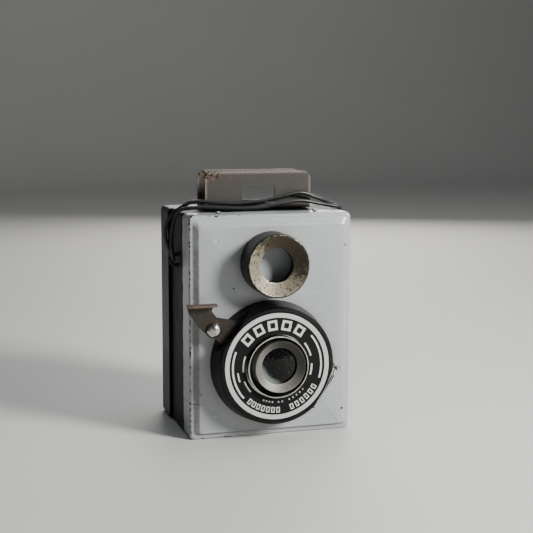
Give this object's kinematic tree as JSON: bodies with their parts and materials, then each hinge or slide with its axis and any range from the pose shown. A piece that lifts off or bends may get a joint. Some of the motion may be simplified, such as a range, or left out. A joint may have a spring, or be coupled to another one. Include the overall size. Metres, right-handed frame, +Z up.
{
  "type": "miniature box camera",
  "caption": "Miniature pressed-metal box camera with a dished dummy viewing ring above a round shutter drum, an open frame finder on top and a corded strap.",
  "frame": {"origin": "underside of the body, at the middle of its footprint", "axes": "-Y out of the lens, +Z up, +X towards the winding knob"},
  "size_m": [0.059, 0.0476, 0.0787],
  "materials": {
    "panel_enamel": "worn grey-blue enamel",
    "body_black": "black enamel",
    "cover_black": "black enamel",
    "drum_black": "dusty black enamel",
    "plate_black": "printed black",
    "view_ring_black": "worn black over brass",
    "bright_ring": "bright",
    "bezel_grey": "satin grey",
    "lens_glass": "dusty clear",
    "stop_black": "matt black",
    "lever_brass": "tarnished",
    "rivet_nickel": "polished",
    "spring_steel": "dark",
    "inner_tin": "plain",
    "finder_enamel": "worn dark enamel",
    "strap_black": "braided",
    "spool_black": "satin black",
    "knob_nickel": "satin nickel",
    "window_red": "red",
    "liner_black": "matt black"
  },
  "bodies": {
    "case": {"aperture_stop": "stop_black", "base_rivet_left": "inner_tin", "base_rivet_right": "inner_tin", "blade_pivot": "inner_tin", "body_shell": "body_black", "finder_bracket": "finder_enamel", "finder_rivet_left": "rivet_nickel", "finder_rivet_right": "rivet_nickel", "front_pin_left": "rivet_nickel", "front_pin_right": "rivet_nickel", "front_plate": "panel_enamel", "knob_washer": "inner_tin", "lens_bezel": "bezel_grey", "lens_glass": "lens_glass", "lens_retainer": "inner_tin", "lens_ring": "bright_ring", "lever_bush": "rivet_nickel", "lever_rivet": "rivet_nickel", "light_box": "liner_black", "name_plate": "plate_black", "return_spring": "spring_steel", "roller_pin_bottom": "inner_tin", "roller_pin_top": "inner_tin", "shutter_base": "inner_tin", "shutter_housing": "drum_black", "spring_post": "rivet_nickel", "stop_post_left": "inner_tin", "stop_post_right": "inner_tin", "strap_back": "strap_black", "strap_front": "strap_black", "strap_lug_left": "rivet_nickel", "strap_lug_right": "rivet_nickel", "supply_pin_left": "inner_tin", "supply_pin_right": "inner_tin", "takeup_pin_left": "inner_tin", "view_ring": "view_ring_black"},
    "winder": {"takeup_spool": "spool_black", "wind_shaft": "inner_tin", "wind_knob": "knob_nickel"},
    "supply": {"supply_spool": "spool_black"},
    "roller_top": {"film_roller_top": "knob_nickel"},
    "roller_bottom": {"film_roller_bottom": "knob_nickel"},
    "cover": {"rear_cover": "cover_black", "window_ring": "knob_nickel", "red_window": "window_red", "window_clip": "inner_tin", "pressure_plate": "liner_black", "pressure_leaf_top": "spring_steel", "pressure_leaf_bottom": "spring_steel"},
    "lever": {"shutter_lever": "lever_brass"},
    "ring": {"shutter_ring": "inner_tin"},
    "blade": {"shutter_blade": "spring_steel"}
  },
  "joints": [
    {"name": "shutter_release", "type": "hinge", "parent": "case", "child": "lever", "pos_m": [-0.01888, -0.0233, 0.03411], "axis": [0, -1, 0], "range_deg": [0, 19.5], "stiffness_Nm_per_rad": 0.004, "springref_deg": -8.59, "deforming": ["return_spring"]},
    {"name": "ring_turn", "type": "hinge", "parent": "case", "child": "ring", "pos_m": [-0.0005, -0.0224, 0.02285], "axis": [0, 1, 0], "range_deg": [-0.5, 8.2]},
    {"name": "blade_swing", "type": "hinge", "parent": "case", "child": "blade", "pos_m": [-0.0005, -0.0218, 0.03115], "axis": [0, 1, 0], "range_deg": [-1, 23.2]},
    {"name": "winding", "type": "hinge", "parent": "case", "child": "winder", "pos_m": [0, 0.0042, 0.0505], "axis": [1, 0, 0], "continuous": true},
    {"name": "supply_turn", "type": "hinge", "parent": "case", "child": "supply", "pos_m": [0, -0.0101, 0.0084], "axis": [1, 0, 0], "continuous": true},
    {"name": "roller_top_turn", "type": "hinge", "parent": "case", "child": "roller_top", "pos_m": [0, 0.0123, 0.03845], "axis": [1, 0, 0], "continuous": true},
    {"name": "roller_bottom_turn", "type": "hinge", "parent": "case", "child": "roller_bottom", "pos_m": [0, 0.0123, 0.00725], "axis": [1, 0, 0], "continuous": true},
    {"name": "cover_slide", "type": "slide", "parent": "case", "child": "cover", "axis": [0, 1, 0], "range_m": [0, 0.03]}
  ],
  "couplings": [
    {"joint": "ring_turn", "follows": "shutter_release", "ratio": 0.4004},
    {"joint": "blade_swing", "follows": "shutter_release", "ratio": 1.164}
  ]
}
